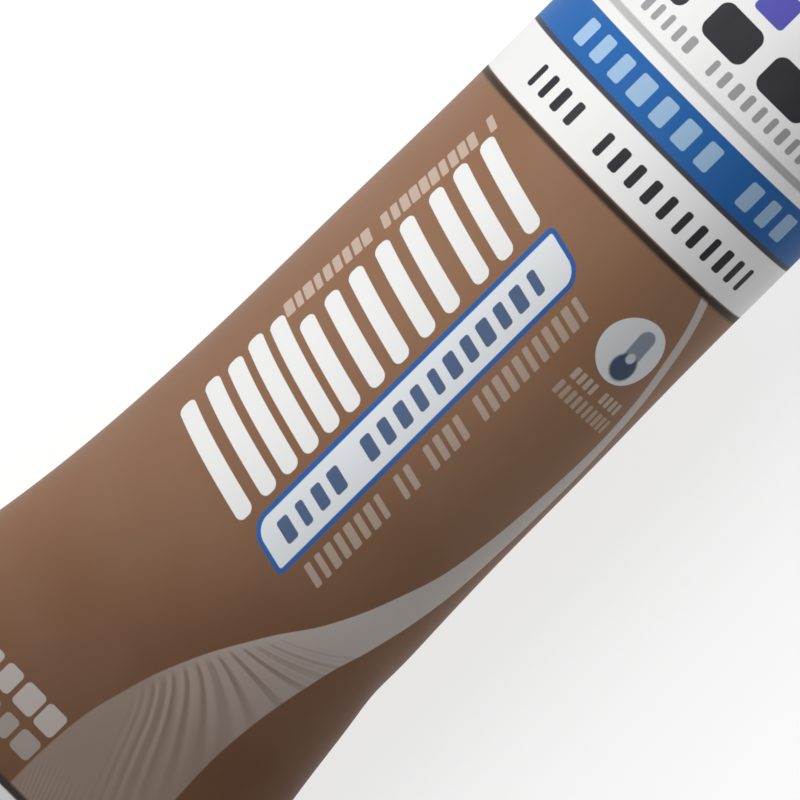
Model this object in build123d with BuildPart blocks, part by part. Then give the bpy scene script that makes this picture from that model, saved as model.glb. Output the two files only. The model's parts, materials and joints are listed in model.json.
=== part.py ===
from build123d import *
from math import pi, sqrt
import os

# A squeeze tube of sealant lying on its back: a printed laminate sleeve, flattened and sealed at its
# tail, a moulded head with a screw neck, a foil seal, an applicator nozzle and the nozzle's tip cap.
# Millimetres. +X runs from the sealed tail to the nozzle, +Z is up through the printed front.
# The origin is on the table, under the middle of the whole length.

# Sleeve
tube_diameter = 28.0
sleeve_wall = 0.4
straight_length = 24.0  # the truly round stretch behind the shoulder
tail_length = 92.0  # from the round stretch to the seal
seal_length = 7.0  # the flat, welded end
tail_fullness = 3.4  # higher keeps the tail round for longer
tail_taper = 1.2  # higher runs out more gently into the seal
tail_stations = 12
width_precision = 1e-9
match_precision = 0.01  # how near an edge's place and radius have to be to the ones asked for
cavity_share = 0.985  # the share of the tail's length where the two walls meet

# Head
shoulder_height = 4.5
shoulder_wall = 1.2
shoulder_edge = 0.7
head_skirt_length = 4.0  # the part of the head that is welded inside the sleeve
neck_diameter = 14.0
neck_length = 11.0
neck_bore_diameter = 9.0
foil_thickness = 0.2

# Sealant
fill_clearance = 0.15
fill_share = 0.97  # the share of the tail's length that the sealant reaches

# Nozzle
nozzle_clearance = 0.3  # round the neck and above the shoulder
collar_wall = 1.7  # between the neck's socket and the feet of the ribs
collar_length = 12.5
collar_rib_count = 36
collar_rib_radius = 0.5
cone_base_diameter = 14.0
cone_tip_diameter = 5.0
cone_length = 36.0
nozzle_wall = 1.4
outlet_diameter = 2.4
nozzle_edge = 0.7
tip_edge = 0.3
seat_gap = 0.1  # between the foil seal and the nozzle's seat

# Tip cap
cap_clearance = 0.15
cap_wall = 1.1
cap_length = 13.0
cap_roof = 1.2
cap_rib_count = 18
cap_rib_radius = 0.35
cap_edge = 0.6
pin_length = 3.0  # the cap's own pin, which plugs the outlet
pin_clearance = 0.2

# Places along X, with the whole length centred on the origin
tube_radius = tube_diameter / 2
inner_radius = tube_radius - sleeve_wall
neck_radius = neck_diameter / 2
bore_radius = neck_bore_diameter / 2
overall_length = (
    seal_length
    + tail_length
    + straight_length
    + shoulder_height
    + nozzle_clearance
    + collar_length
    + cone_length
    + cap_clearance
    + cap_roof
)
tail_end_x = -overall_length / 2
seal_x = tail_end_x + seal_length
round_x = seal_x + tail_length
shoulder_x = round_x + straight_length
neck_x = shoulder_x + shoulder_height
neck_end_x = neck_x + neck_length
nozzle_x = neck_x + nozzle_clearance
cone_x = nozzle_x + collar_length
nozzle_end_x = cone_x + cone_length
cap_end_x = nozzle_end_x + cap_clearance + cap_roof
cap_x = cap_end_x - cap_length

seal_thickness = 2 * sleeve_wall
tube_axis = Axis((0, 0, tube_radius), (1, 0, 0))


def across(x, height=tube_radius):
    """The plane across the tube at x, its own y axis pointing up."""
    return Plane(origin=(x, 0, height), x_dir=(0, 1, 0), z_dir=(1, 0, 0))


def along(x):
    """The upright plane through the tube's axis at x, its own x axis running to the nozzle."""
    return Plane(origin=(x, 0, tube_radius), x_dir=(1, 0, 0), z_dir=(0, -1, 0))


def ellipse_length(half_width, half_height):
    """Ramanujan's length of an ellipse."""
    total = half_width + half_height
    return pi * (3 * total - sqrt((3 * half_width + half_height) * (half_width + 3 * half_height)))


def half_height_at(share):
    """Half the tail's height: the tube's radius at share 0, half the seal's thickness at share 1."""
    fullness = (1 - share**tail_fullness) ** tail_taper
    return seal_thickness / 2 + (tube_radius - seal_thickness / 2) * fullness


def half_width_at(half_height):
    """The half width that keeps the sleeve's girth, because the laminate doesn't stretch."""
    girth = 2 * pi * tube_radius
    low, high = tube_radius, girth / 4
    while high - low > width_precision:
        middle = (low + high) / 2
        if ellipse_length(middle, half_height) < girth:
            low = middle
        else:
            high = middle
    return low


def tail_sections(inset, last_share):
    """The tail's cross sections from the round stretch to last_share, inset from the outer skin."""
    sections = []
    for station in range(tail_stations + 1):
        share = last_share * station / tail_stations
        half_height = half_height_at(share)
        half_width = half_width_at(half_height)
        with BuildSketch(across(round_x - tail_length * share, half_height)) as section:
            Ellipse(half_width - inset, half_height - inset)
        sections.append(section.sketch.face())
    return sections


def turned(x, points):
    """A solid turned about the tube's axis from an outline of (distance from x, radius) points."""
    with BuildSketch(along(x)) as outline:
        with BuildLine():
            Polyline(*points, close=True)
        make_face()
    revolve(outline.sketch, axis=tube_axis)


def edges_at(piece, x, radius):
    """The piece's round edges about the tube's axis, at x and with that radius."""
    circles = piece.edges().filter_by(GeomType.CIRCLE)
    right_size = circles.filter_by(lambda edge: abs(edge.radius - radius) < match_precision)
    return right_size.filter_by(lambda edge: abs(edge.center().X - x) < match_precision)


def cone_radius(x):
    """The nozzle's outer radius at x, anywhere on its cone."""
    share = (x - cone_x) / cone_length
    return (cone_base_diameter + (cone_tip_diameter - cone_base_diameter) * share) / 2


def ribs(x, length, radius, count, rib_radius):
    """Grip ribs along the tube's axis, standing half out of a wall of that radius."""
    with BuildSketch(across(x)) as rib_ends:
        with PolarLocations(radius, count):
            Circle(rib_radius)
    extrude(rib_ends.sketch, amount=length)


with BuildPart() as cavity:
    loft(tail_sections(sleeve_wall, cavity_share))
    turned(round_x, [(0, 0), (0, inner_radius), (straight_length, inner_radius), (straight_length, 0)])

with BuildPart() as sleeve:
    loft(tail_sections(0, 1))
    turned(round_x, [(0, 0), (0, tube_radius), (straight_length, tube_radius), (straight_length, 0)])
    with BuildSketch(across(tail_end_x, seal_thickness / 2)):
        Rectangle(2 * half_width_at(seal_thickness / 2), seal_thickness)
    extrude(amount=seal_length)
    add(cavity.part, mode=Mode.SUBTRACT)

with BuildPart() as head:
    turned(
        shoulder_x,
        [
            (-head_skirt_length, inner_radius),
            (0, inner_radius),
            (0, tube_radius),
            (shoulder_wall, tube_radius),
            (shoulder_height, neck_radius),
            (shoulder_height + neck_length, neck_radius),
            (shoulder_height + neck_length, bore_radius),
            (shoulder_height - shoulder_wall, bore_radius),
            (0, inner_radius - shoulder_wall),
            (-head_skirt_length, inner_radius - shoulder_wall),
        ],
    )
    fillet(edges_at(head, shoulder_x + shoulder_wall, tube_radius), shoulder_edge)

with BuildPart() as foil_seal:
    foil_radius = (neck_radius + bore_radius) / 2
    turned(neck_end_x, [(0, 0), (0, foil_radius), (foil_thickness, foil_radius), (foil_thickness, 0)])

with BuildPart() as sealant:
    skirt_radius = inner_radius - shoulder_wall - fill_clearance
    throat_radius = bore_radius - fill_clearance
    loft(tail_sections(sleeve_wall + fill_clearance, fill_share))
    turned(
        shoulder_x,
        [
            (-straight_length, 0),
            (-straight_length, inner_radius - fill_clearance),
            (-head_skirt_length - fill_clearance, inner_radius - fill_clearance),
            (-head_skirt_length - fill_clearance, skirt_radius),
            (-fill_clearance, skirt_radius),
            (shoulder_height - shoulder_wall - fill_clearance, throat_radius),
            (shoulder_height + neck_length - fill_clearance, throat_radius),
            (shoulder_height + neck_length - fill_clearance, 0),
        ],
    )

with BuildPart() as nozzle:
    socket_radius = neck_radius + nozzle_clearance
    collar_radius = socket_radius + collar_wall
    seat_depth = neck_end_x + foil_thickness + seat_gap - nozzle_x
    throat_wall_radius = cone_base_diameter / 2 - nozzle_wall
    turned(
        nozzle_x,
        [
            (0, socket_radius),
            (0, collar_radius),
            (collar_length, collar_radius),
            (collar_length, cone_base_diameter / 2),
            (collar_length + cone_length, cone_tip_diameter / 2),
            (collar_length + cone_length, outlet_diameter / 2),
            (collar_length, throat_wall_radius),
            (seat_depth, throat_wall_radius),
            (seat_depth, socket_radius),
        ],
    )
    fillet(edges_at(nozzle, cone_x, collar_radius), nozzle_edge)
    fillet(edges_at(nozzle, cone_x, cone_base_diameter / 2), nozzle_edge)
    fillet(edges_at(nozzle, nozzle_end_x, cone_tip_diameter / 2), tip_edge)
    ribs(nozzle_x, collar_length - 2 * nozzle_edge, collar_radius, collar_rib_count, collar_rib_radius)

with BuildPart() as tip_cap:
    mouth_radius = cone_radius(cap_x) + cap_clearance
    cap_radius = mouth_radius + cap_wall
    end_radius = cone_tip_diameter / 2 + cap_clearance
    cap_depth = cap_length - cap_roof
    pin_radius = outlet_diameter / 2 - pin_clearance
    turned(
        cap_x,
        [
            (0, mouth_radius),
            (0, cap_radius),
            (cap_length, cap_radius),
            (cap_length, 0),
            (cap_depth - pin_length, 0),
            (cap_depth - pin_length, pin_radius),
            (cap_depth, pin_radius),
            (cap_depth, end_radius),
        ],
    )
    fillet(edges_at(tip_cap, cap_end_x, cap_radius), cap_edge)
    ribs(cap_x, cap_length - 2 * cap_edge, cap_radius, cap_rib_count, cap_rib_radius)

pieces = {
    "sleeve": sleeve,
    "head": head,
    "foil_seal": foil_seal,
    "sealant": sealant,
    "nozzle": nozzle,
    "tip_cap": tip_cap,
}
os.makedirs("parts", exist_ok=True)
for name, piece in pieces.items():
    piece.part.label = name
    export_step(piece.part, f"parts/{name}.step")
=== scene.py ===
import json
from math import atan2, cos, exp, hypot, pi, radians, sin

import bmesh
import bpy
from mathutils import Matrix, Vector, noise


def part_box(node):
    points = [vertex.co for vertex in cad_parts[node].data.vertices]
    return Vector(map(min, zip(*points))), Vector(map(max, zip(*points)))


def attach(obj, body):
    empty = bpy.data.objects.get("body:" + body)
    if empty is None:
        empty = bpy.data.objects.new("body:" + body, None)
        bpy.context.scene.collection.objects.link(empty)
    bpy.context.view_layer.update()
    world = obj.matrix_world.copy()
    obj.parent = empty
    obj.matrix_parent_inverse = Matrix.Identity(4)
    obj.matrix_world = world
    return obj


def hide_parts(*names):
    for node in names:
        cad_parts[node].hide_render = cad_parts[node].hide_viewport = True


# A squeeze tube of sealant lying on its back: printed laminate sleeve, moulded head with its screw
# neck, foil seal, applicator nozzle and tip cap. The shapes are built in millimetres and scaled once,
# when a mesh is finished. +X runs from the welded tail to the nozzle and +Z is up through the front.

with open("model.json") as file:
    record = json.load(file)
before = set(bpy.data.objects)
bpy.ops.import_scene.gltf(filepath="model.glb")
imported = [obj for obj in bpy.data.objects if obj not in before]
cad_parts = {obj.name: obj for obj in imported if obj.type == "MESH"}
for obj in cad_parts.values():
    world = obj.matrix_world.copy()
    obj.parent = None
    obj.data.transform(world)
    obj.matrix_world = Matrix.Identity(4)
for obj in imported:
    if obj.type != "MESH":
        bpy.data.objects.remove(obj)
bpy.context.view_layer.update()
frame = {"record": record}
print("frame loaded")

mm = 0.001
joinDistance = 0.001  # vertices nearer than this many millimetres become one


# what the CAD says, in millimetres
def boxOf(node):
    low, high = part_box(node)
    return low / mm, high / mm


mounts = {mount["name"]: mount for mount in frame["record"]["mounts"]}
gripMount = mounts["body_grip"]
tubeRadius = gripMount["dims"]["r_mm"]
roundLength = gripMount["dims"]["length_mm"]
sleeveLow, sleeveHigh = boxOf("sleeve")
headHigh = boxOf("head")[1]
foilLow, foilHigh = boxOf("foil_seal")
nozzleLow, nozzleHigh = boxOf("nozzle")
capLow, capHigh = boxOf("tip_cap")
tailX = sleeveLow.x
shoulderX = sleeveHigh.x
roundX = shoulderX - roundLength
girth = 2 * pi * tubeRadius


def newPiece(name, bm, body, replaced, material):
    # the mesh is scaled from millimetres to metres here, and its object stays at the origin
    bmesh.ops.scale(bm, vec=(mm, mm, mm), verts=bm.verts)
    mesh = bpy.data.meshes.new(name)
    bm.to_mesh(mesh)
    bm.free()
    for polygon in mesh.polygons:
        polygon.use_smooth = True
    piece = bpy.data.objects.new(name, mesh)
    bpy.context.scene.collection.objects.link(piece)
    mesh.materials.append(material)
    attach(piece, body)
    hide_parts(replaced)
    return piece


def lathe(bm, outline, steps, angle=2 * pi, screw=0.0):
    # outline points are (x, radius); a screw travels along the axis as it turns
    verts = [bm.verts.new((x, 0, radius)) for x, radius in outline]
    edges = [bm.edges.new(pair) for pair in zip(verts, verts[1:])]
    full = screw == 0.0
    if not full:
        edges.append(bm.edges.new((verts[-1], verts[0])))
    made = bmesh.ops.spin(
        bm,
        geom=verts + edges,
        cent=(0, 0, 0),
        axis=(1, 0, 0),
        dvec=(screw / steps, 0, 0),
        angle=angle,
        steps=steps,
        use_merge=full,
    )
    return made["geom_last"]


def closeUp(bm):
    bmesh.ops.remove_doubles(bm, verts=bm.verts, dist=joinDistance)
    bmesh.ops.recalc_face_normals(bm, faces=bm.faces)


def raiseToAxis(bm):
    bmesh.ops.translate(bm, vec=(0, 0, tubeRadius), verts=bm.verts)


def smoothStep(low, high, value):
    share = min(1.0, max(0.0, (value - low) / (high - low)))
    return share * share * (3 - 2 * share)


class Wire:
    def __init__(self, shader, socket):
        self.shader = shader
        self.socket = socket

    def math(self, operation, *values, clamp=False):
        settings = {"operation": operation, "use_clamp": clamp}
        return self.shader.node("ShaderNodeMath", settings, dict(enumerate(values)))

    def __add__(self, other):
        return self.math("ADD", self, other)

    __radd__ = __add__

    def __sub__(self, other):
        return self.math("SUBTRACT", self, other)

    def __rsub__(self, other):
        return self.math("SUBTRACT", other, self)

    def __mul__(self, other):
        return self.math("MULTIPLY", self, other)

    __rmul__ = __mul__

    def __truediv__(self, other):
        return self.math("DIVIDE", self, other)

    def __rtruediv__(self, other):
        return self.math("DIVIDE", other, self)

    def __pow__(self, other):
        return self.math("POWER", self, other)

    def __neg__(self):
        return self.math("MULTIPLY", self, -1)

    def __abs__(self):
        return self.math("ABSOLUTE", self)

    def clamp(self):
        return self.math("ADD", self, 0, clamp=True)

    def atLeast(self, other):
        return self.math("MAXIMUM", self, other)

    def atMost(self, other):
        return self.math("MINIMUM", self, other)

    def above(self, limit):
        return self.math("GREATER_THAN", self, limit)

    def whole(self):
        return self.math("FLOOR", self)

    def sine(self):
        return self.math("SINE", self)


class Shader:
    def __init__(self, name, **constants):
        self.material = bpy.data.materials.new(name)
        self.material.use_nodes = True
        self.tree = self.material.node_tree
        self.surface = self.tree.nodes["Principled BSDF"]
        for socketName, value in constants.items():
            self.surface.inputs[socketName.replace("_", " ")].default_value = value

    def node(self, kind, settings=None, inputs=None, output=0):
        made = self.tree.nodes.new(kind)
        for key, value in (settings or {}).items():
            if key == "line":
                self.drawLine(made.mapping, value)
            else:
                setattr(made, key, value)
        for key, value in (inputs or {}).items():
            self.join(value, made.inputs[key])
        return Wire(self, made.outputs[output])

    def drawLine(self, mapping, places):
        line = mapping.curves[0]
        for index, place in enumerate(places):
            if index < 2:
                line.points[index].location = place
            else:
                line.points.new(*place)
        mapping.update()

    def join(self, value, socket):
        if isinstance(value, Wire):
            self.tree.links.new(value.socket, socket)
        elif socket.type == "RGBA" and len(value) == 3:
            socket.default_value = (*value, 1)
        else:
            socket.default_value = value

    def feed(self, socketName, value):
        self.join(value, self.surface.inputs[socketName])

    def mix(self, factor, first, second):
        settings = {"data_type": "RGBA", "clamp_factor": True}
        return self.node("ShaderNodeMix", settings, {0: factor, 6: first, 7: second}, 2)

    def noise(self, vector, scale, detail):
        inputs = {"Vector": vector, "Scale": scale, "Detail": detail}
        return self.node("ShaderNodeTexNoise", None, inputs)

    def place(self):
        # object coordinates in millimetres
        here = self.node("ShaderNodeTexCoord", output="Object")
        return self.node("ShaderNodeVectorMath", {"operation": "SCALE"}, {0: here, 3: 1 / mm})

    def axes(self, vector):
        # its first two parts
        return [self.node("ShaderNodeSeparateXYZ", None, {0: vector}, part) for part in range(2)]

    def bump(self, height, strength):
        # the height is in millimetres
        inputs = {"Height": height, "Strength": strength, "Distance": mm}
        self.feed("Normal", self.node("ShaderNodeBump", None, inputs))


# Print on the sleeve. Places are on the flat sheet in millimetres: along runs to the nozzle, round
# runs from the middle of the front towards +Y. The bars and blocks are plain shapes.
inks = {
    "brown": (0.244, 0.133, 0.076),
    # the next is the brown painted darker, as painted shade, for the lit upper side
    "brownTop": (0.206, 0.112, 0.067),
    # the next is the brown painted darker, as painted shade, towards the tail
    "brownDeep": (0.140, 0.068, 0.038),
    "white": (0.600, 0.598, 0.592),
    # the next is the white painted paler, as painted light, for the shaded lower side
    "whiteLow": (0.750, 0.750, 0.750),
    "bareTail": (0.770, 0.775, 0.790),
    "weld": (0.560, 0.565, 0.575),
    "tailLine": (0.050, 0.042, 0.040),
    "frontLine": (0.036, 0.024, 0.018),
    "thinLine": (0.050, 0.052, 0.070),
    "blueBand": (0.020, 0.103, 0.310),
    "greyLine": (0.370, 0.370, 0.375),
    "plateEdge": (0.030, 0.105, 0.330),
    "plate": (0.660, 0.685, 0.710),
    "slate": (0.075, 0.115, 0.210),
    "gaugeFace": (0.620, 0.640, 0.660),
    "gaugeStem": (0.215, 0.245, 0.295),
    "gaugeBulb": (0.055, 0.078, 0.125),
    "gaugeSpot": (0.500, 0.530, 0.570),
    "pale": (0.480, 0.390, 0.330),
    "tailPale": (0.460, 0.420, 0.390),
    "tailPaleLow": (0.360, 0.320, 0.290),
    "black": (0.030, 0.030, 0.034),
    "softBlack": (0.170, 0.170, 0.180),
    "skyBlue": (0.310, 0.450, 0.600),
    "violet": (0.085, 0.080, 0.360),
    "sweep": (0.455, 0.410, 0.387),
    # the next is the sweep's colour painted darker, as painted shade, towards the tail
    "sweepDeep": (0.265, 0.198, 0.160),
    "streakPale": (0.345, 0.272, 0.228),
    "streakDark": (0.200, 0.143, 0.110),
    "haze": (0.620, 0.560, 0.520),
}


def inside(distance, soft=0.07):
    # 1 where the distance in from an edge is positive
    return (distance / soft + 0.5).clamp()


def band(value, low, high, soft=0.07):
    return inside((value - low).atMost(high - value), soft)


def roundCornered(offX, offY, radius):
    # the distance in from a box's edge, from how far a place is past the middles of its corners
    outX, outY = offX.atLeast(0), offY.atLeast(0)
    corner = (outX * outX + outY * outY) ** 0.5
    return radius - corner - offX.atLeast(offY).atMost(0)


def roundedBox(x, y, low, high, radius):
    halfX, halfY = (high[0] - low[0]) / 2, (high[1] - low[1]) / 2
    offX = abs(x - (low[0] + halfX)) - halfX + radius
    offY = abs(y - (low[1] + halfY)) - halfY + radius
    return roundCornered(offX, offY, radius)


def discAt(x, y, middle, radius):
    awayX, awayY = x - middle[0], y - middle[1]
    return radius - (awayX * awayX + awayY * awayY) ** 0.5


def capsule(x, y, start, end, radius):
    runX, runY = end[0] - start[0], end[1] - start[1]
    length = runX * runX + runY * runY
    share = (((x - start[0]) * runX + (y - start[1]) * runY) / length).clamp()
    awayX, awayY = x - (share * runX + start[0]), y - (share * runY + start[1])
    return radius - (awayX * awayX + awayY * awayY) ** 0.5


printPaintedShade = {
    "tailShade": -6.0,  # painted shade: the brown is painted darker from here towards the tail
    "tailShadeLength": 38.0,
    "tailShadeTop": 0.4,  # the share of it on the upper edge
    "lowShade": 13.0,  # painted shade and light: from here the darker top copy gives way to the paler lower one
    "lowShadeLength": 18.0,
}


# 1 towards the lower, shaded edge: it mixes in the colours painted paler as painted light, and more of
#                                   the painted tail shade
def paintedShadingTowardsLow(y):
    return ((printPaintedShade["lowShade"] - y) / printPaintedShade["lowShadeLength"]).clamp()


# the brown with painted shade and light: darker on the lit upper side and towards the tail, paler
# towards the shaded lower edge
def brownWithPaintedShade(shader, x, y):
    towardsLow = paintedShadingTowardsLow(y)
    towardsTail = ((printPaintedShade["tailShade"] - x) / printPaintedShade["tailShadeLength"]).clamp()
    share = printPaintedShade["tailShadeTop"] + (1 - printPaintedShade["tailShadeTop"]) * towardsLow
    brown = shader.mix(towardsLow, inks["brownTop"], inks["brown"])
    return shader.mix(towardsTail * share, brown, inks["brownDeep"])


sweep = {
    "start": -62.0,
    "end": 8.0,
    "reach": 20.0,
    "soft": 0.12,
    # its upper and lower edges: along, round
    "top": [(-62, 0.1), (-52.6, 0.1), (-47, -1.0), (-43, -2.3), (-36.6, -5.65), (-32, -9.0)]
    + [(-26.9, -12.0), (-21.2, -14.7), (-12.9, -16.5), (-6.4, -16.9), (1.3, -15.0), (6.9, -12.2)],
    "low": [(-62, -9.0), (-55, -10.0), (-44.7, -10.05), (-36, -11.9), (-31, -14.2), (-27.1, -16.0)]
    + [(-21.2, -18.0), (-12.9, -19.0), (-6.4, -18.6), (1.3, -16.3), (6.9, -13.3)],
    # painted shade: towards the tail from here, the sweep is painted darker
    "palerFrom": -46.0,
    "palerLength": 16.0,
}
fan = {
    "middle": -38.8,
    "pitch": 0.84,
    "spread": 0.10,  # how fast its streaks part below the upper edge
    "spreadPower": 1.45,
    "rays": (-8.2, 2.9),
    "raysSoft": 3.4,
    "strength": 0.8,
    # the streaks fade downwards, as fullness less their depth over fadeDepth
    "fullness": 1.5,
    "fadeDepth": 6.5,
    "fadeIn": (0.2, 0.8),  # where they start below the upper edge, and over what length
    "finer": (0.35, 11.0, 1.3),  # a finer wave on it: share, rate and offset
    "tailStreaks": -56.0,  # fainter streaks from here to the tail
    "tailStrength": 0.4,
    "tailSoft": 2.5,
}


def sweepEdge(shader, x, points):
    # a smooth edge through points of (along, round), as a float curve from 0 to 1
    span = sweep["end"] - sweep["start"]
    line = [((along - sweep["start"]) / span, -around / sweep["reach"]) for along, around in points]
    share = (x - sweep["start"]) / span
    return shader.node("ShaderNodeFloatCurve", {"line": line}, {"Value": share}) * -sweep["reach"]


def drawSweep(shader, colour, x, y):
    # the sweeping pale field with its fan of fine streaks
    top = sweepEdge(shader, x, sweep["top"])
    low = sweepEdge(shader, x, sweep["low"])
    depth = (top - y).atLeast(0)
    ray = (x - fan["middle"]) / (1 + fan["spread"] * depth ** fan["spreadPower"]) / fan["pitch"]
    share, rate, offset = fan["finer"]
    wave = (ray * 2 * pi).sine() + share * (ray * rate + offset).sine()
    begin, length = fan["fadeIn"]
    strength = band(ray, *fan["rays"], fan["raysSoft"])
    strength = strength * (fan["fullness"] - depth / fan["fadeDepth"]).clamp()
    strength = strength + fan["tailStrength"] * inside(fan["tailStreaks"] - x, fan["tailSoft"])
    strength = strength * ((depth - begin) / length).clamp() * fan["strength"]
    # painted shade: the sweep darkens towards the tail
    paler = ((x - sweep["palerFrom"]) / sweep["palerLength"]).clamp()
    pale = shader.mix(paler, inks["sweepDeep"], inks["sweep"])
    pale = shader.mix(wave.clamp() * strength, pale, inks["streakPale"])
    pale = shader.mix((-wave).clamp() * strength, pale, inks["streakDark"])
    return shader.mix(inside((top - y).atMost(y - low), sweep["soft"]), colour, pale)


wordBars = {
    "slant": 0.225,
    "foot": 1.97,
    "radius": 0.62,
    "width": 1.6,
    # each bar's start along its foot, and its top
    "bars": [(-31.3, 13.2), (-28.6, 13.2), (-26.2, 13.0), (-23.9, 13.3), (-21.6, 13.0), (-19.3, 10.75)]
    + [(-16.6, 10.75), (-13.95, 10.75), (-11.05, 10.75), (-8.35, 10.75), (-5.15, 10.75)]
    + [(-2.5, 10.75), (0.45, 10.75)],
}


def drawWordBars(shader, colour, x, y, white):
    # the row of large slanted bars
    foot = wordBars["foot"]
    leaning = x - (y - foot) * wordBars["slant"]
    word = None
    for start, top in wordBars["bars"]:
        end = (start + wordBars["width"], top)
        bar = roundedBox(leaning, y, (start, foot), end, wordBars["radius"])
        word = bar if word is None else word.atLeast(bar)
    return shader.mix(inside(word), colour, white)


plate = {
    "low": (-32.1, -3.25),
    "high": (1.45, 1.34),
    "slant": 0.24,
    "border": 0.42,
    "largeCorner": 1.75,
    "smallCorner": 0.65,
}


def drawPlate(shader, colour, x, y):
    # the slanted plate below the bars, with two large and two small corners
    (lowX, lowY), (highX, highY) = plate["low"], plate["high"]
    leaning = x - (y - lowY) * plate["slant"]
    middleX, middleY = (lowX + highX) / 2, (lowY + highY) / 2
    isLarge = ((leaning - middleX) * (middleY - y)).above(0)
    corner = plate["smallCorner"] + isLarge * (plate["largeCorner"] - plate["smallCorner"])
    distance = roundedBox(leaning, y, plate["low"], plate["high"], corner)
    colour = shader.mix(inside(distance), colour, inks["plateEdge"])
    return shader.mix(inside(distance - plate["border"]), colour, inks["plate"])


gauge = {
    "squash": 0.868,  # its round lengths are squashed, to look right on the curve
    "middle": (-0.35, -9.72),
    "radius": 2.95,
    "bulb": (-1.65, -10.15),
    "bulbRadius": 1.2,
    "stemEnd": (1.1, -9.95),
    "stemRadius": 0.8,
    "spot": (-0.75, -10.1),
    "spotRadius": 0.45,
    "soft": 0.15,
    "bulbSoft": 0.25,
}


def drawGauge(shader, colour, x, y):
    # a disc with a plain bulb and stem on it
    flat = y * gauge["squash"]
    face = discAt(x, flat, gauge["middle"], gauge["radius"])
    stem = capsule(x, flat, gauge["bulb"], gauge["stemEnd"], gauge["stemRadius"])
    bulb = discAt(x, flat, gauge["bulb"], gauge["bulbRadius"])
    spot = discAt(x, flat, gauge["spot"], gauge["spotRadius"])
    colour = shader.mix(inside(face), colour, inks["gaugeFace"])
    colour = shader.mix(inside(stem, gauge["soft"]), colour, inks["gaugeStem"])
    colour = shader.mix(inside(bulb, gauge["bulbSoft"]), colour, inks["gaugeBulb"])
    return shader.mix(inside(spot, gauge["soft"]), colour, inks["gaugeSpot"])


shoulderField = {
    "start": 7.2,
    "end": 40.0,
    # the stripes on it: start, end and softness
    "frontLine": (6.5, 7.15, 0.3),
    "thinLine": (12.35, 12.95, 0.1),
    "blueBand": (12.8, 16.8, 0.07),
    "greyLine": (17.75, 18.4, 0.15),
}


def drawShoulder(shader, colour, x, white):
    colour = shader.mix(band(x, shoulderField["start"], shoulderField["end"]), colour, white)
    for stripe in ("frontLine", "thinLine", "blueBand", "greyLine"):
        colour = shader.mix(band(x, *shoulderField[stripe]), colour, inks[stripe])
    return colour


# Rows of small bars: ink, strength, lowest and highest place, number of bars, how much of the pitch
# a bar fills, which places are left empty, corner radius and a seed for the widths.
rowWidths = (0.8, 1.2)  # the narrowest and the widest bar, as shares of the filled width
slantedRows = {
    "slant": 0.24,
    "onPlate": ("slate", 1.0, (-30.1, -1.95), (-0.95, 0.0), 16, 0.56, [4], 0.25, 3.0),
    "belowPlate": ("pale", 0.65, (-30.9, -6.05), (-0.4, -3.95), 28, 0.6, [8, 11, 16], 0.15, 11.0),
    "aboveBars": ("pale", 0.70, (-17.6, 12.15), (4.8, 13.75), 22, 0.8, [9, 20], 0.15, 17.0),
    "fall": 0.058,  # the row above the bars falls by this share of the way from here
    "fallFrom": -17.8,
}
# these run round the sleeve, so their places are (round, along)
roundRows = [
    # beside the gauge
    ("pale", 0.6, (-15.9, -6.75), (-8.0, -5.5), 10, 0.62, [], 0.12, 23.0),
    ("pale", 0.8, (-15.4, -5.0), (-8.3, -3.95), 9, 0.62, [4], 0.12, 29.0),
    # at the tail end of the brown field
    ("tailPale", 0.9, (0.3, -54.3), (16.75, -52.05), 7, 0.84, [], 0.4, 31.0),
    ("tailPaleLow", 0.8, (0.45, -57.0), (13.35, -55.0), 6, 0.8, [], 0.4, 37.0),
    # on the white shoulder field
    ("black", 1.0, (-15.6, 8.65), (12.7, 10.8), 16, 0.45, [11], 0.25, 41.0),
    ("skyBlue", 0.85, (-14.7, 13.65), (12.6, 16.0), 11, 0.6, [3], 0.25, 43.0),
    ("softBlack", 0.8, (-11.2, 19.2), (9.6, 20.7), 16, 0.5, [10], 0.25, 47.0),
    ("black", 1.0, (-13.98, 21.25), (11.6, 24.65), 4, 0.74, [], 0.9, 53.0),
    ("violet", 1.0, (-13.98, 25.6), (11.6, 28.4), 6, 0.6, [2], 0.4, 59.0),
]
backRows = {
    "rows": 8,
    "first": 26.0,
    "pitch": 2.1,
    "height": 1.0,
    "start": -50.0,
    "end": 2.0,
    "bars": 40,
    "fill": 0.72,
    "radius": 0.1,
    "seed": 61.0,
    "strength": 0.8,
}


def drawRow(shader, colour, along, across, row, slant=0.0):
    # a row of small bars of uneven widths, with some places left empty
    ink, strength, low, high, count, fill, gaps, radius, seed = row
    pitch = (high[0] - low[0]) / count
    leaning = along - (across - low[1]) * slant
    step = (leaning - low[0]) / pitch
    cell = step.whole()
    chance = shader.node("ShaderNodeTexWhiteNoise", {"noise_dimensions": "1D"}, {"W": cell + seed})
    half = pitch * fill * 0.5 * (rowWidths[0] + (rowWidths[1] - rowWidths[0]) * chance)
    middle, halfHeight = (low[1] + high[1]) / 2, (high[1] - low[1]) / 2
    offAlong = abs((step - cell - 0.5) * pitch) - half + radius
    offAcross = abs(across - middle) - halfHeight + radius
    bars = inside(roundCornered(offAlong, offAcross, radius)) * band(leaning, low[0], high[0], 0.02)
    for gap in gaps:
        bars = bars * (abs(cell - gap)).above(0.5)
    return shader.mix(bars * strength, colour, inks[ink])


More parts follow.
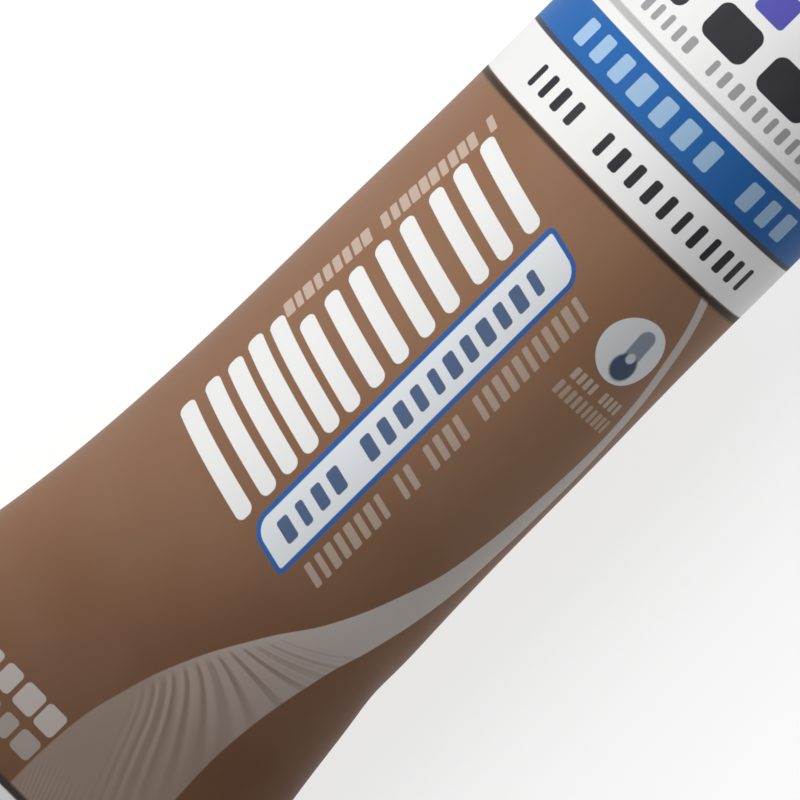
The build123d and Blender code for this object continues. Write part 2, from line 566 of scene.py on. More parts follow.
def drawRows(shader, colour, x, y):
    slant = slantedRows["slant"]
    colour = drawRow(shader, colour, x, y, slantedRows["onPlate"], slant)
    colour = drawRow(shader, colour, x, y, slantedRows["belowPlate"], slant)
    falling = y + (x - slantedRows["fallFrom"]) * slantedRows["fall"]
    colour = drawRow(shader, colour, x, falling, slantedRows["aboveBars"], slant)
    for row in roundRows:
        colour = drawRow(shader, colour, y, x, row)
    # both halves of the back carry the same rows
    look = backRows
    aside = abs(y)
    for index in range(look["rows"]):
        place = look["first"] + index * look["pitch"]
        low, high = (look["start"], place), (look["end"], place + look["height"])
        gaps = [7 + 2 * index, 22 + index]
        shape = (look["bars"], look["fill"], gaps, look["radius"], look["seed"] + index)
        colour = drawRow(shader, colour, x, aside, ("pale", look["strength"], low, high) + shape)
    return colour


tailField = {
    "start": -59.7,
    "line": (-59.7, -59.05, 0.25),
    "weldSoft": 0.6,
    "weldStrength": 0.75,
}


def drawTail(shader, colour, x, weld):
    colour = shader.mix(inside(tailField["start"] - x), colour, inks["bareTail"])
    colour = shader.mix(weld * tailField["weldStrength"], colour, inks["weld"])
    return shader.mix(band(x, *tailField["line"]), colour, inks["tailLine"])


laminateLook = {
    "turned": 0.2,  # how far the whole print sits round from the middle
    "ior": 1.3,
    "specular": 0.12,
    "coat": 0.02,
    "coatRoughness": 0.28,
    "coatCloud": 0.03,
    "roughness": 0.48,
    "clouds": 0.11,  # patches to the millimetre
    "cloudGloss": 0.10,
    "cloudBump": 0.05,
    "grain": 3.2,
    "grainGloss": 0.07,
    "grainBump": 0.006,
    "weldGloss": 0.06,
    "weldMetal": 0.3,
    "haze": 0.08,
}


def printedLaminate():
    look = laminateLook
    gloss = {"IOR": look["ior"], "Specular_IOR_Level": look["specular"]}
    gloss.update(Coat_IOR=look["ior"], Coat_Roughness=look["coatRoughness"])
    shader = Shader("printedLaminate", **gloss)
    x, y = shader.axes(shader.node("ShaderNodeUVMap", {"uv_map": "sheet"}))
    y = y - look["turned"]
    # the white with painted light: paler towards the shaded lower edge
    white = shader.mix(paintedShadingTowardsLow(y), inks["white"], inks["whiteLow"])
    weld = inside(sealX - x, tailField["weldSoft"])
    colour = brownWithPaintedShade(shader, x, y)
    colour = drawSweep(shader, colour, x, y)
    colour = drawWordBars(shader, colour, x, y, white)
    colour = drawPlate(shader, colour, x, y)
    colour = drawGauge(shader, colour, x, y)
    colour = drawShoulder(shader, colour, x, white)
    colour = drawRows(shader, colour, x, y)
    colour = drawTail(shader, colour, x, weld)

    # satin lacquer with a little unevenness, glossier over the bare laminate
    here = shader.place()
    cloud = shader.noise(here, look["clouds"], 4.0)
    grain = shader.noise(here, look["grain"], 3.0)
    colour = shader.mix((cloud - 0.4) * look["haze"], colour, inks["haze"])
    shader.feed("Base Color", colour)
    rough = look["roughness"] + (cloud - 0.5) * look["cloudGloss"] + (grain - 0.5) * look["grainGloss"]
    shader.feed("Roughness", rough - weld * look["weldGloss"])
    shader.feed("Metallic", weld * look["weldMetal"])
    shader.feed("Coat Weight", look["coat"] + (cloud - 0.5) * look["coatCloud"])
    shader.bump(grain * look["grainBump"] + cloud * look["cloudBump"], 0.5)
    return shader.material


sleeveLook = {
    "tailFullness": 3.4,  # the flare is the CAD's own law
    "tailTaper": 1.2,
    "sealLength": 7.0,
    "squareness": 2.2,  # how square the section grows over the last of the tail
    "squareFrom": 0.80,
    "wall": 0.4,
    "cavityShare": 0.985,  # how much of the tail's length the cavity reaches into
    "alongSteps": 264,
    "roundSteps": 200,
    "innerSteps": 70,
    "weldRows": 0.22,  # the share of the rows that lies over the weld
    "rowPower": 1.15,
    "ribPitch": 0.9,  # the ribs pressed into the weld
    "ribDepth": 0.07,
    "ribPower": 0.7,
    "ribsBegin": (0.3, 0.8),  # from the tail's edge
    "ribsEnd": (1.2, 0.6),  # before the weld's end
    "seamAt": -33.0,  # the lap seam, low on the back
    "seamWidth": 1.6,
    "seamRise": 0.07,
    "seamSoft": 0.15,
    "seamFade": 4.0,
    "rimDepth": 0.05,  # the front rim is drawn in a little
    "rimLength": 0.9,
    "grooveDepth": 0.025,  # a faint ring where the head's skirt ends
    "grooveAt": 4.2,
    "grooveWidth": 0.35,
    "rippleDepth": 0.07,  # soft unevenness over the flare
    "rippleAlong": 0.06,
    "rippleRound": 1.1,
    "rippleFade": (8.0, 6.0),
    "foldFade": 5.0,
    "foldEnd": 0.75,  # how much of a fold is gone at its end
    "rimJoin": 0.02,
    # where the filled tube swells or sags: its middle, half length and change of half height
    "slack": [(-40.0, 13.0, 0.38), (-9.0, 9.0, -0.17)],
}
sealX = tailX + sleeveLook["sealLength"]
tailLength = roundX - sealX
sealHalf = sleeveLook["wall"]

# soft folds: start and end on the sheet, half width and depth
folds = [
    ((-80.5, 17.5), (-57.0, 5.5), 2.6, 0.34),
    ((-80.5, -16.0), (-60.0, -6.5), 2.2, 0.28),
    ((-81.0, 3.0), (-68.0, 0.5), 3.4, 0.30),
    ((-36.5, -25.5), (-30.5, -16.5), 2.4, 0.36),
    ((-80.0, 29.0), (-52.0, 33.0), 2.8, 0.30),
    ((-80.0, -30.0), (-55.0, -26.0), 2.6, 0.30),
    # narrower creases that the weld draws
    ((-81.5, 10.5), (-70.0, 7.0), 1.1, 0.20),
    ((-81.5, -8.5), (-67.5, -4.5), 1.2, 0.22),
    ((-81.5, 21.5), (-72.0, 19.5), 1.0, 0.18),
    ((-81.5, -21.5), (-69.0, -18.5), 1.1, 0.20),
    ((-81.5, 35.5), (-70.0, 37.0), 1.1, 0.20),
    ((-81.5, -37.5), (-68.0, -39.0), 1.2, 0.20),
]


def halfHeightAt(x):
    share = min(1.0, max(0.0, (roundX - x) / tailLength))
    fullness = (1 - share ** sleeveLook["tailFullness"]) ** sleeveLook["tailTaper"]
    slack = 0.0
    for middle, reach, rise in sleeveLook["slack"]:
        slack += rise * exp(-(((x - middle) / reach) ** 2))
    return sealHalf + (tubeRadius - sealHalf) * fullness + slack


def ellipseLength(halfWidth, halfHeight):
    total = halfWidth + halfHeight
    return pi * (3 * total - ((3 * halfWidth + halfHeight) * (halfWidth + 3 * halfHeight)) ** 0.5)


def halfWidthAt(halfHeight):
    low, high = tubeRadius, girth / 4
    for _ in range(40):
        middle = (low + high) / 2
        if ellipseLength(middle, halfHeight) < girth:
            low = middle
        else:
            high = middle
    return low


def sectionAt(x, samples=360):
    # the outline at x from the middle of the front round to it again, with its running length
    halfHeight = halfHeightAt(x)
    halfWidth = halfWidthAt(halfHeight)
    share = (roundX - x) / tailLength
    squareness = 2 + sleeveLook["squareness"] * smoothStep(sleeveLook["squareFrom"], 1.0, share)
    points, lengths = [], [0.0]
    for sample in range(samples + 1):
        angle = 2 * pi * sample / samples
        across, up = sin(angle), cos(angle)
        y = halfWidth * abs(across) ** (2 / squareness) * (1 if across > 0 else -1)
        z = halfHeight * abs(up) ** (2 / squareness) * (1 if up > 0 else -1)
        points.append((y, z))
        if sample:
            lengths.append(lengths[-1] + hypot(y - points[-2][0], z - points[-2][1]))
    return halfHeight, points, lengths


def pointOn(section, share):
    halfHeight, points, lengths = section
    wanted = (share % 1.0) * lengths[-1]
    low, high = 0, len(lengths) - 1
    while high - low > 1:
        middle = (low + high) // 2
        if lengths[middle] <= wanted:
            low = middle
        else:
            high = middle
    part = (wanted - lengths[low]) / max(lengths[high] - lengths[low], 1e-9)
    y = points[low][0] + (points[high][0] - points[low][0]) * part
    z = points[low][1] + (points[high][1] - points[low][1]) * part
    alongY, alongZ = points[high][0] - points[low][0], points[high][1] - points[low][1]
    size = max(hypot(alongY, alongZ), 1e-9)
    # the place and the outward normal
    return y, z + halfHeight, -alongZ / size, alongY / size


def foldDepth(x, around):
    depth = 0.0
    for (startX, startR), (endX, endR), halfWidth, deep in folds:
        runX, runR = endX - startX, endR - startR
        share = ((x - startX) * runX + (around - startR) * runR) / (runX * runX + runR * runR)
        held = min(1.0, max(0.0, share))
        away = hypot(x - startX - held * runX, around - startR - held * runR)
        fade = 1 - sleeveLook["foldEnd"] * held
        depth += deep * fade * exp(-((away / halfWidth) ** 2))
    return depth * smoothStep(sealX, sealX + sleeveLook["foldFade"], x)


def weldRibs(x):
    look = sleeveLook
    begin, full = look["ribsBegin"]
    fall, end = look["ribsEnd"]
    part = smoothStep(tailX + begin, tailX + full, x) * (1 - smoothStep(sealX - fall, sealX - end, x))
    return part * (0.5 - 0.5 * cos(2 * pi * (x - tailX) / look["ribPitch"])) ** look["ribPower"]


def ripple(x, around):
    look = sleeveLook
    turn = 2 * pi * around / girth
    reach = look["rippleRound"]
    place = Vector((x * look["rippleAlong"], reach * cos(turn), reach * sin(turn)))
    begin, end = look["rippleFade"]
    flare = smoothStep(sealX, sealX + begin, x) * (1 - smoothStep(roundX - end, roundX, x))
    return (noise.noise(place) * 0.5 + 0.5) * flare


def skinDepth(x, around):
    # how far the outer skin sinks in, in millimetres
    look = sleeveLook
    depth = foldDepth(x, around) + look["ribDepth"] * weldRibs(x)
    depth += look["rimDepth"] * smoothStep(shoulderX - look["rimLength"], shoulderX, x)
    fromGroove = (x - shoulderX + look["grooveAt"]) / look["grooveWidth"]
    depth += look["grooveDepth"] * exp(-(fromGroove ** 2))
    depth += look["rippleDepth"] * ripple(x, around)
    # the lap seam stands a little proud
    fromSeam = abs(around - look["seamAt"]) - look["seamWidth"] / 2
    onSeam = 1 - smoothStep(-look["seamSoft"], look["seamSoft"], fromSeam)
    return depth - look["seamRise"] * onSeam * smoothStep(sealX, sealX + look["seamFade"], x)


def alongOf(share):
    # rows are closer over the weld and the last of the tail
    weldRows = sleeveLook["weldRows"]
    if share < weldRows:
        return tailX + sleeveLook["sealLength"] * share / weldRows
    part = (share - weldRows) / (1 - weldRows)
    return sealX + (shoulderX - sealX) * part ** sleeveLook["rowPower"]


def wrapGrid(bm, alongSteps, roundSteps, place, alongAt):
    # a flat grid becomes the wrapped sheet, and its UV map keeps the flat sheet's millimetres
    made = bmesh.ops.create_grid(bm, x_segments=alongSteps, y_segments=roundSteps, size=0.5)
    verts = made["verts"]
    sections = {}
    flat = {}
    for vert in verts:
        key = round((vert.co.x + 0.5) * alongSteps)
        if key not in sections:
            x = alongAt(key / alongSteps)
            sections[key] = (x, sectionAt(x))
        x, section = sections[key]
        share = vert.co.y
        flat[vert] = (x, share * girth)
        vert.co = place(x, share, section)
    layer = bm.loops.layers.uv.verify()
    for vert in verts:
        for loop in vert.link_loops:
            loop[layer].uv = flat[vert]


def outerPlace(x, share, section):
    y, z, outY, outZ = pointOn(section, share)
    depth = skinDepth(x, share * girth)
    z = z - depth * outZ
    return x, y - depth * outY, max(z, 0.0)


def innerPlace(x, share, section, gap=0.0):
    # on the wall's inner side, or a gap further in
    y, z, outY, outZ = pointOn(section, share)
    depth = sleeveLook["wall"] + gap + foldDepth(x, share * girth)
    return x, y - depth * outY, z - depth * outZ


def awayFromAxis(vert):
    return hypot(vert.co.y, vert.co.z - tubeRadius)


def extrudeTo(bm, edges, x, radius):
    # a ring of edges is carried on to a round ring, and the new edges come back
    made = bmesh.ops.extrude_edge_only(bm, edges=edges)["geom"]
    for vert in made:
        if isinstance(vert, bmesh.types.BMVert):
            share = radius / awayFromAxis(vert)
            vert.co = (x, vert.co.y * share, tubeRadius + (vert.co.z - tubeRadius) * share)
    return [edge for edge in made if isinstance(edge, bmesh.types.BMEdge) and edge.is_boundary]


cavityEnd = roundX - sleeveLook["cavityShare"] * tailLength


def cavityAt(share):
    return cavityEnd + (shoulderX - cavityEnd) * share


def buildSleeve():
    look = sleeveLook
    bm = bmesh.new()
    wrapGrid(bm, look["alongSteps"], look["roundSteps"], outerPlace, alongOf)
    wrapGrid(bm, look["innerSteps"], look["roundSteps"], innerPlace, cavityAt)
    bmesh.ops.remove_doubles(bm, verts=bm.verts, dist=joinDistance / 2)
    rims = [edge for edge in bm.edges if edge.is_boundary]
    # the tail's edge and the cavity's end are filled
    tailRims = [edge for edge in rims if edge.verts[0].co.x < roundX]
    tailEdge = [edge for edge in tailRims if edge.verts[0].co.x < tailX + 0.01]
    bmesh.ops.edgeloop_fill(bm, edges=tailEdge)
    bmesh.ops.edgeloop_fill(bm, edges=[edge for edge in tailRims if edge not in tailEdge])
    # the front rim is drawn in to meet the wall inside
    front = [edge for edge in rims if edge.verts[0].co.x > roundX]
    middle = tubeRadius - look["wall"] / 2
    outerRim = [edge for edge in front if awayFromAxis(edge.verts[0]) > middle]
    extrudeTo(bm, outerRim, shoulderX, tubeRadius - look["wall"])
    rimVerts = [vert for vert in bm.verts if vert.co.x > shoulderX - 0.01]
    bmesh.ops.remove_doubles(bm, verts=rimVerts, dist=look["rimJoin"])
    bmesh.ops.recalc_face_normals(bm, faces=bm.faces)
    return bm


laminate = printedLaminate()
print("print and laminate ready")
sleevePiece = newPiece("printedSleeve", buildSleeve(), "tube", "sleeve", laminate)
sleevePiece.data.uv_layers[0].name = "sheet"
print("sleeve built")


plasticLook = {
    "clouds": 0.18,  # patches to the millimetre
    "grain": 5.0,
    "darker": 0.86,
    "cloudGloss": 0.14,
    "cloudBump": 0.02,
    "grainGloss": 0.08,
    "grainBump": 0.007,
}


def mouldedPlastic(name, look):
    shader = Shader(name, Subsurface_Weight=look["translucence"], Subsurface_Scale=2 * mm)
    here = shader.place()
    cloud = shader.noise(here, plasticLook["clouds"], 3.0)
    grain = shader.noise(here, plasticLook["grain"], 1.0)
    darker = tuple(channel * plasticLook["darker"] for channel in look["colour"])
    rough = look["roughness"] + (cloud - 0.5) * plasticLook["cloudGloss"]
    shader.feed("Base Color", shader.mix((cloud - 0.35) * 0.9, look["colour"], darker))
    shader.feed("Roughness", rough + (grain - 0.5) * plasticLook["grainGloss"])
    shader.bump(grain * plasticLook["grainBump"] + cloud * plasticLook["cloudBump"], 0.5)
    return shader.material


headLook = {
    "skirtLength": 4.0,
    "wall": 1.2,
    "rimHeight": 1.2,
    "neckLength": 11.0,
    "neckRoot": 6.25,
    "neckBore": 4.5,
    "threadPitch": 2.5,
    "threadTurns": 3.0,
    "threadWidth": 1.5,
    "threadCrest": 0.5,
    "threadRadius": 7.0,
    "threadStart": 1.7,  # in front of the neck's root
    "steps": 128,
    "colour": (0.60, 0.60, 0.59),
    "roughness": 0.42,
    "translucence": 0.05,
}
threadLook = {
    "stepsPerTurn": 64,
    "fadeTurns": 0.35,
    "sunk": 0.15,  # how deep its foot lies in the wall
}


def thread(bm, start, rootRadius, crestRadius, pitch, turns, width, crest):
    # one ridge that travels along the axis as it turns, and fades into the wall at both ends
    outline = [
        (start, rootRadius),
        (start + (width - crest) / 2, crestRadius),
        (start + (width + crest) / 2, crestRadius),
        (start + width, rootRadius),
    ]
    steps = round(turns * threadLook["stepsPerTurn"])
    ridge = bmesh.new()
    lathe(ridge, outline, steps, angle=-2 * pi * turns, screw=pitch * turns)
    sunk = rootRadius - (threadLook["sunk"] if crestRadius > rootRadius else -threadLook["sunk"])
    fade = threadLook["fadeTurns"] * threadLook["stepsPerTurn"]
    for index, vert in enumerate(ridge.verts):
        step = index // len(outline)
        part = max(0.02, smoothStep(0, 1, min(step / fade, (steps - step) / fade)))
        radius = hypot(vert.co.y, vert.co.z)
        wanted = sunk + (radius - sunk) * part
        vert.co.y *= wanted / radius
        vert.co.z *= wanted / radius
    bmesh.ops.holes_fill(ridge, edges=[edge for edge in ridge.edges if edge.is_boundary], sides=4)
    bmesh.ops.recalc_face_normals(ridge, faces=ridge.faces)
    carrier = bpy.data.meshes.new("ridge")
    ridge.to_mesh(carrier)
    ridge.free()
    bm.from_mesh(carrier)
    bpy.data.meshes.remove(carrier)


def buildHead():
    look = headLook
    bm = bmesh.new()
    innerRadius = tubeRadius - sleeveLook["wall"]
    skirtX = shoulderX - look["skirtLength"]
    rimX = shoulderX + look["rimHeight"]
    neckX = headHigh.x - look["neckLength"]
    neckRadius = look["neckRoot"]
    outline = [
        (skirtX, innerRadius),
        (shoulderX, innerRadius),
        (shoulderX, tubeRadius - 0.25),
        (shoulderX + 0.25, tubeRadius),
        (rimX - 0.6, tubeRadius),
        (rimX - 0.15, tubeRadius - 0.2),
        (rimX + 0.05, tubeRadius - 0.7),
        (neckX - 0.75, neckRadius + 2.0),
        (neckX - 0.55, neckRadius + 1.5),
        (neckX - 0.05, neckRadius + 0.95),
        (neckX, neckRadius + 0.75),
        (neckX + 0.9, neckRadius + 0.75),
        (neckX + 1.1, neckRadius + 0.5),
        (neckX + 1.2, neckRadius),
        (headHigh.x - 0.35, neckRadius),
        (headHigh.x - 0.08, neckRadius - 0.1),
        (headHigh.x, neckRadius - 0.35),
        (headHigh.x, look["neckBore"] + 0.2),
        (headHigh.x - 0.2, look["neckBore"]),
        (neckX - look["wall"], look["neckBore"]),
        (shoulderX, innerRadius - look["wall"]),
        (skirtX, innerRadius - look["wall"]),
        (skirtX, innerRadius),
    ]
    lathe(bm, outline, look["steps"])
    closeUp(bm)
    thread(
        bm,
        neckX + look["threadStart"],
        neckRadius,
        look["threadRadius"],
        look["threadPitch"],
        look["threadTurns"],
        look["threadWidth"],
        look["threadCrest"],
    )
    raiseToAxis(bm)
    return bm


whitePlastic = mouldedPlastic("whitePlastic", headLook)
newPiece("screwHead", buildHead(), "tube", "head", whitePlastic)
print("head built")


foilLook = {
    "steps": 72,
    "pale": (0.78, 0.78, 0.80),
    "dark": (0.60, 0.60, 0.63),
    "roughness": 0.36,
    "bump": 0.03,
}


def foilMetal():
    shader = Shader("foilMetal", Metallic=0.95)
    here = shader.place()
    cloud = shader.noise(here, 0.9, 4.0)
    cells = shader.node("ShaderNodeTexVoronoi", None, {"Vector": here, "Scale": 1.6})
    shader.feed("Base Color", shader.mix(cloud, foilLook["pale"], foilLook["dark"]))
    shader.feed("Roughness", foilLook["roughness"] + (cloud - 0.5) * 0.12)
    shader.bump(cells * foilLook["bump"] + cloud * foilLook["bump"], 0.6)
    return shader.material


def buildFoil():
    # a disc with a pressed ring near its edge
    bm = bmesh.new()
    radius = (foilHigh.y - foilLow.y) / 2
    low, high = foilLow.x, foilHigh.x
    thick = high - low
    outline = [
        (low, 0.0),
        (low, radius),
        (low + thick * 0.5, radius),
        (low + thick * 0.85, radius - 0.15),
        (low + thick * 0.85, radius - 1.0),
        (low + thick * 0.45, radius - 1.2),
        (low + thick * 0.5, radius - 2.4),
        (high, radius * 0.3),
        (high, 0.0),
    ]
    lathe(bm, outline, foilLook["steps"])
    closeUp(bm)
    raiseToAxis(bm)
    return bm


newPiece("foilDisc", buildFoil(), "tube", "foil_seal", foilMetal())
print("foil built")


nozzleLook = {
    "collarLength": 12.5,
    "collarRadius": 9.0,
    "lip": 0.45,  # a plain lip round the collar's open end
    "lipLength": 1.0,
    "ribCount": 36,
    "ribHeight": 0.5,
    "ribFade": 0.9,
    "rowsAlong": 10,
    "rowsPerRib": 8,
    "socketRadius": 7.45,
    "seatRoom": 0.1,  # between the foil and the socket's floor
    "threadRadius": 7.1,
    "threadStart": 1.4,
    "threadTurns": 2.6,
    "threadWidth": 1.2,
    "threadCrest": 0.4,
    "coneBase": 7.0,
    "coneTip": 2.5,
    "bore": 1.2,
    "wall": 1.4,
    "cutMarks": [4.0, 7.5, 11.0, 16.0, 21.0],  # back from the tip
    "markDepth": 0.13,
    "colour": (0.54, 0.55, 0.535),
    "roughness": 0.40,
    "translucence": 0.10,
}
coneStart = nozzleLow.x + nozzleLook["collarLength"]
coneSlope = (nozzleLook["coneTip"] - nozzleLook["coneBase"]) / (nozzleHigh.x - coneStart)


def coneRadius(x):
    return nozzleLook["coneTip"] + coneSlope * (x - nozzleHigh.x)


def ribbed(bm, look, lowX, highX, wallRadius):
    # turns the plain outer wall between two places into rounded grip ribs
    fade = look["ribFade"]
    for vert in bm.verts:
        radius = hypot(vert.co.y, vert.co.z)
        if radius < wallRadius - 0.05 or not lowX <= vert.co.x <= highX:
            continue
        part = smoothStep(lowX, lowX + fade, vert.co.x)
        part *= 1 - smoothStep(highX - fade, highX, vert.co.x)
        wave = cos(look["ribCount"] * atan2(vert.co.y, vert.co.z))
        rise = look["ribHeight"] * part * max(0.0, wave) ** 0.6
        vert.co.y *= (radius + rise) / radius
        vert.co.z *= (radius + rise) / radius


def evenly(start, end, steps):
    return [start + (end - start) * step / steps for step in range(steps + 1)]


def buildNozzle():
    look = nozzleLook
    bm = bmesh.new()
    low, tip, end = nozzleLow.x, nozzleHigh.x, coneStart
    collar, base = look["collarRadius"], look["coneBase"]
    lip = collar + look["lip"]
    seat = foilHigh.x + look["seatRoom"]
    # the lip and the collar
    outline = [(low, look["socketRadius"] + 0.25), (low, lip - 0.15), (low + 0.15, lip)]
    outline += [(low + look["lipLength"], lip), (low + look["lipLength"] + 0.2, collar)]
    ribsFrom, ribsTo = low + look["lipLength"] + 0.25, end - 0.9
    outline += [(x, collar) for x in evenly(ribsFrom, ribsTo, look["rowsAlong"])]
    outline += [(end - 0.45, collar - 0.12), (end - 0.12, collar - 0.45), (end, collar - 0.9)]
    # the cone with its cutting marks
    outline += [(end, base + 0.45), (end + 0.12, base + 0.12), (end + 0.5, base - 0.07)]
    for back in reversed(look["cutMarks"]):
        mark = tip - back
        floor = coneRadius(mark) - look["markDepth"]
        outline += [(mark - away, coneRadius(mark - away)) for away in (0.5, 0.25)]
        outline += [(mark - 0.1, floor), (mark + 0.1, floor)]
        outline += [(mark + away, coneRadius(mark + away)) for away in (0.25, 0.5)]
    # the tip, and back inside through the bore to the socket
    outline += [(tip - 0.3, look["coneTip"]), (tip - 0.08, look["coneTip"] - 0.1)]
    outline += [(tip, look["coneTip"] - 0.3), (tip, look["bore"] + 0.1), (tip - 0.15, look["bore"])]
    outline += [(end, base - look["wall"]), (seat, base - look["wall"])]
    outline += [(seat, look["socketRadius"]), (low + 0.25, look["socketRadius"]), outline[0]]
    lathe(bm, outline, look["ribCount"] * look["rowsPerRib"])
    closeUp(bm)
    ribbed(bm, look, ribsFrom - 0.01, ribsTo + 0.05, collar)
    thread(
        bm,
        low + look["threadStart"],
        look["socketRadius"],
        look["threadRadius"],
        headLook["threadPitch"],
        look["threadTurns"],
        look["threadWidth"],
        look["threadCrest"],
    )
    raiseToAxis(bm)
    return bm


nozzlePlastic = mouldedPlastic("nozzlePlastic", nozzleLook)
newPiece("nozzleCone", buildNozzle(), "nozzle", "nozzle", nozzlePlastic)
print("nozzle built")


capLook = {
    "ribCount": 18,
    "ribHeight": 0.35,
    "ribFade": 0.8,
    "rowsAlong": 12,
    "rowsPerRib": 12,
    "roof": 1.2,
    "clearance": 0.15,
    "pinRadius": 1.0,
    "pinLength": 3.0,
    "edge": 0.7,
    "edgeSteps": 5,
    "dish": 0.15,
    "colour": (0.235, 0.125, 0.082),
    "roughness": 0.40,
    "translucence": 0.0,
}


def buildCap():
    look = capLook
    bm = bmesh.new()
    low, high = capLow.x, capHigh.x
    wall = (capHigh.y - capLow.y) / 2 - look["ribHeight"]
    mouth = coneRadius(low) + look["clearance"]
    endRadius = look["clearance"] + nozzleLook["coneTip"]
    edge = look["edge"]
    # the ribbed wall, its round edge and the dished end
    outline = [(low, mouth + 0.15), (low, wall - 0.2), (low + 0.15, wall)]
    outline += [(x, wall) for x in evenly(low + 0.2, high - edge - 0.1, look["rowsAlong"])]
    for step in range(1, look["edgeSteps"] + 1):
        angle = pi / 2 * step / look["edgeSteps"]
        outline.append((high - edge + edge * sin(angle), wall - edge + edge * cos(angle)))
    dishX = high - look["dish"]
    outline += [(high, wall * 0.55), (dishX, wall * 0.5), (dishX, 0.0)]
    lathe(bm, outline, look["ribCount"] * look["rowsPerRib"])
    # the inside with its pin
    roofX = high - look["roof"]
    pinX, pinRadius = roofX - look["pinLength"], look["pinRadius"]
    inner = [(pinX, 0.0), (pinX, pinRadius - 0.25), (pinX + 0.25, pinRadius), (roofX, pinRadius)]
    inner += [(roofX, endRadius), (low + 0.15, mouth), (low, mouth + 0.15)]
    lathe(bm, inner, look["ribCount"] * look["rowsPerRib"])
    closeUp(bm)
    ribbed(bm, look, low + 0.9, high - edge - 0.05, wall)
    bmesh.ops.recalc_face_normals(bm, faces=bm.faces)
    raiseToAxis(bm)
    return bm


capPlastic = mouldedPlastic("capPlastic", capLook)
newPiece("ribbedCap", buildCap(), "tip_cap", "tip_cap", capPlastic)
print("cap built")


sealantLook = {
    "gap": 0.08,  # between the paste and the wall
    "tailRoom": 1.5,
    "alongSteps": 90,
    "roundSteps": 96,
    "pale": (0.30, 0.12, 0.06),
    "dark": (0.22, 0.085, 0.045),
    "roughness": 0.24,
    "bump": 0.25,
}


def sealantPaste():
    shader = Shader("sealantPaste", Subsurface_Weight=0.1, Subsurface_Scale=1.5 * mm)
    here = shader.place()
    cloud = shader.noise(here, 0.25, 4.0)
    shader.feed("Base Color", shader.mix(cloud, sealantLook["pale"], sealantLook["dark"]))
    shader.feed("Roughness", sealantLook["roughness"] + cloud * 0.12)
    shader.bump(cloud * sealantLook["bump"], 0.5)
    return shader.material


pasteStart = cavityEnd + sealantLook["tailRoom"]
pasteEnd = shoulderX - headLook["skirtLength"] - sealantLook["gap"]


def pasteAt(share):
    return pasteStart + (pasteEnd - pasteStart) * share


def pastePlace(x, share, section):
    return innerPlace(x, share, section, sealantLook["gap"])


def buildSealant():
    # the paste follows the sleeve's wall, then the inside of the head up to the foil
    look = sealantLook
    gap = look["gap"]
    bm = bmesh.new()
    wrapGrid(bm, look["alongSteps"], look["roundSteps"], pastePlace, pasteAt)
    bmesh.ops.remove_doubles(bm, verts=bm.verts, dist=joinDistance / 2)
    rims = [edge for edge in bm.edges if edge.is_boundary]
    bmesh.ops.edgeloop_fill(bm, edges=[edge for edge in rims if edge.verts[0].co.x < roundX])
    rim = [edge for edge in rims if edge.verts[0].co.x >= roundX]
    skirtRadius = tubeRadius - sleeveLook["wall"] - headLook["wall"] - gap
    boreRadius = headLook["neckBore"] - gap
    rim = extrudeTo(bm, rim, pasteEnd, skirtRadius)
    rim = extrudeTo(bm, rim, shoulderX - gap, skirtRadius)
    rim = extrudeTo(bm, rim, headHigh.x - headLook["neckLength"] - headLook["wall"] - gap, boreRadius)
    rim = extrudeTo(bm, rim, foilLow.x - gap, boreRadius)
    bmesh.ops.edgeloop_fill(bm, edges=rim)
    bmesh.ops.recalc_face_normals(bm, faces=bm.faces)
    return bm


newPiece("sealantFill", buildSealant(), "tube", "sealant", sealantPaste())
print("sealant built")


stageLook = {
    "floorSize": 3.0,
    "floorDrop": 0.0001,
    "floorGlow": 0.72,
    "floorRoughness": 0.8,
    "floorPale": (0.29, 0.29, 0.29),
    "floorDark": (0.27, 0.27, 0.27),
    # lights: way, distance, size, power
    "keyLight": ((0.52, 0.62, 0.62), 0.7, 0.7, 7.0),
    "fillLight": ((-0.5, -0.3, 0.8), 1.1, 0.9, 0.6),
    "skyStrength": 0.30,
    "aim": (-0.0163, 0.0002, 0.014),
    "tilt": 3.1,  # degrees towards the nozzle
    "roll": 44.8,  # how far the tube is turned up from level
    "distance": 2.0,
    "frameWidth": 0.0627,
    "sensorWidth": 36.0,
}


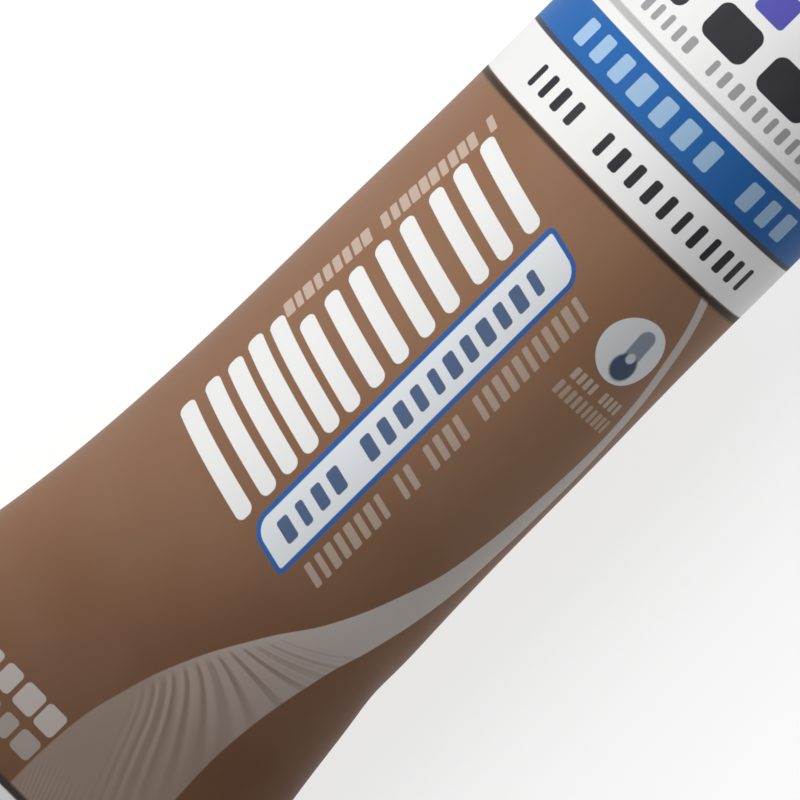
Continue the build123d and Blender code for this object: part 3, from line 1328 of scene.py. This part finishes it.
def addFloor():
    look = stageLook
    bm = bmesh.new()
    bmesh.ops.create_grid(bm, x_segments=1, y_segments=1, size=look["floorSize"] / 2)
    mesh = bpy.data.meshes.new("floor")
    bm.to_mesh(mesh)
    bm.free()
    ground = bpy.data.objects.new("floor", mesh)
    ground.location = (0, 0, -look["floorDrop"])
    bpy.context.scene.collection.objects.link(ground)
    glow = {"Emission_Color": (1, 1, 1, 1), "Emission_Strength": look["floorGlow"]}
    shader = Shader("paleFloor", Roughness=look["floorRoughness"], **glow)
    cloud = shader.noise(shader.place(), 0.004, 2.0)
    shader.feed("Base Color", shader.mix(cloud, look["floorPale"], look["floorDark"]))
    mesh.materials.append(shader.material)


def addLight(name):
    way, distance, size, power = stageLook[name]
    light = bpy.data.lights.new(name, "AREA")
    light.shape = "DISK"
    light.size = size
    light.energy = power
    holder = bpy.data.objects.new(name, light)
    direction = Vector(way).normalized()
    holder.location = Vector(stageLook["aim"]) + direction * distance
    holder.rotation_mode = "QUATERNION"
    holder.rotation_quaternion = (-direction).to_track_quat("-Z", "Y")
    bpy.context.scene.collection.objects.link(holder)


def addSky():
    sky = bpy.data.worlds.new("sky")
    sky.use_nodes = True
    background = sky.node_tree.nodes["Background"]
    background.inputs["Color"].default_value = (1, 1, 1, 1)
    background.inputs["Strength"].default_value = stageLook["skyStrength"]
    bpy.context.scene.world = sky


def addCamera():
    look = stageLook
    lens = bpy.data.cameras.new("camera")
    lens.sensor_width = look["sensorWidth"]
    lens.lens = look["sensorWidth"] * look["distance"] / look["frameWidth"]
    lens.clip_start, lens.clip_end = 0.01, 20.0
    camera = bpy.data.objects.new("camera", lens)
    tilt, roll = radians(look["tilt"]), radians(look["roll"])
    back = Vector((sin(tilt), 0, cos(tilt)))
    along = Vector((cos(tilt), 0, -sin(tilt)))
    across = Vector((0, 1, 0))
    right = along * cos(roll) - across * sin(roll)
    up = along * sin(roll) + across * cos(roll)
    turn = Matrix((right, up, back)).transposed()
    camera.location = Vector(look["aim"]) + back * look["distance"]
    camera.rotation_mode = "QUATERNION"
    camera.rotation_quaternion = turn.to_quaternion()
    bpy.context.scene.collection.objects.link(camera)
    bpy.context.scene.camera = camera


addFloor()
addLight("keyLight")
addLight("fillLight")
addSky()
addCamera()
bpy.context.scene.view_settings.view_transform = "Standard"
print("stage set")
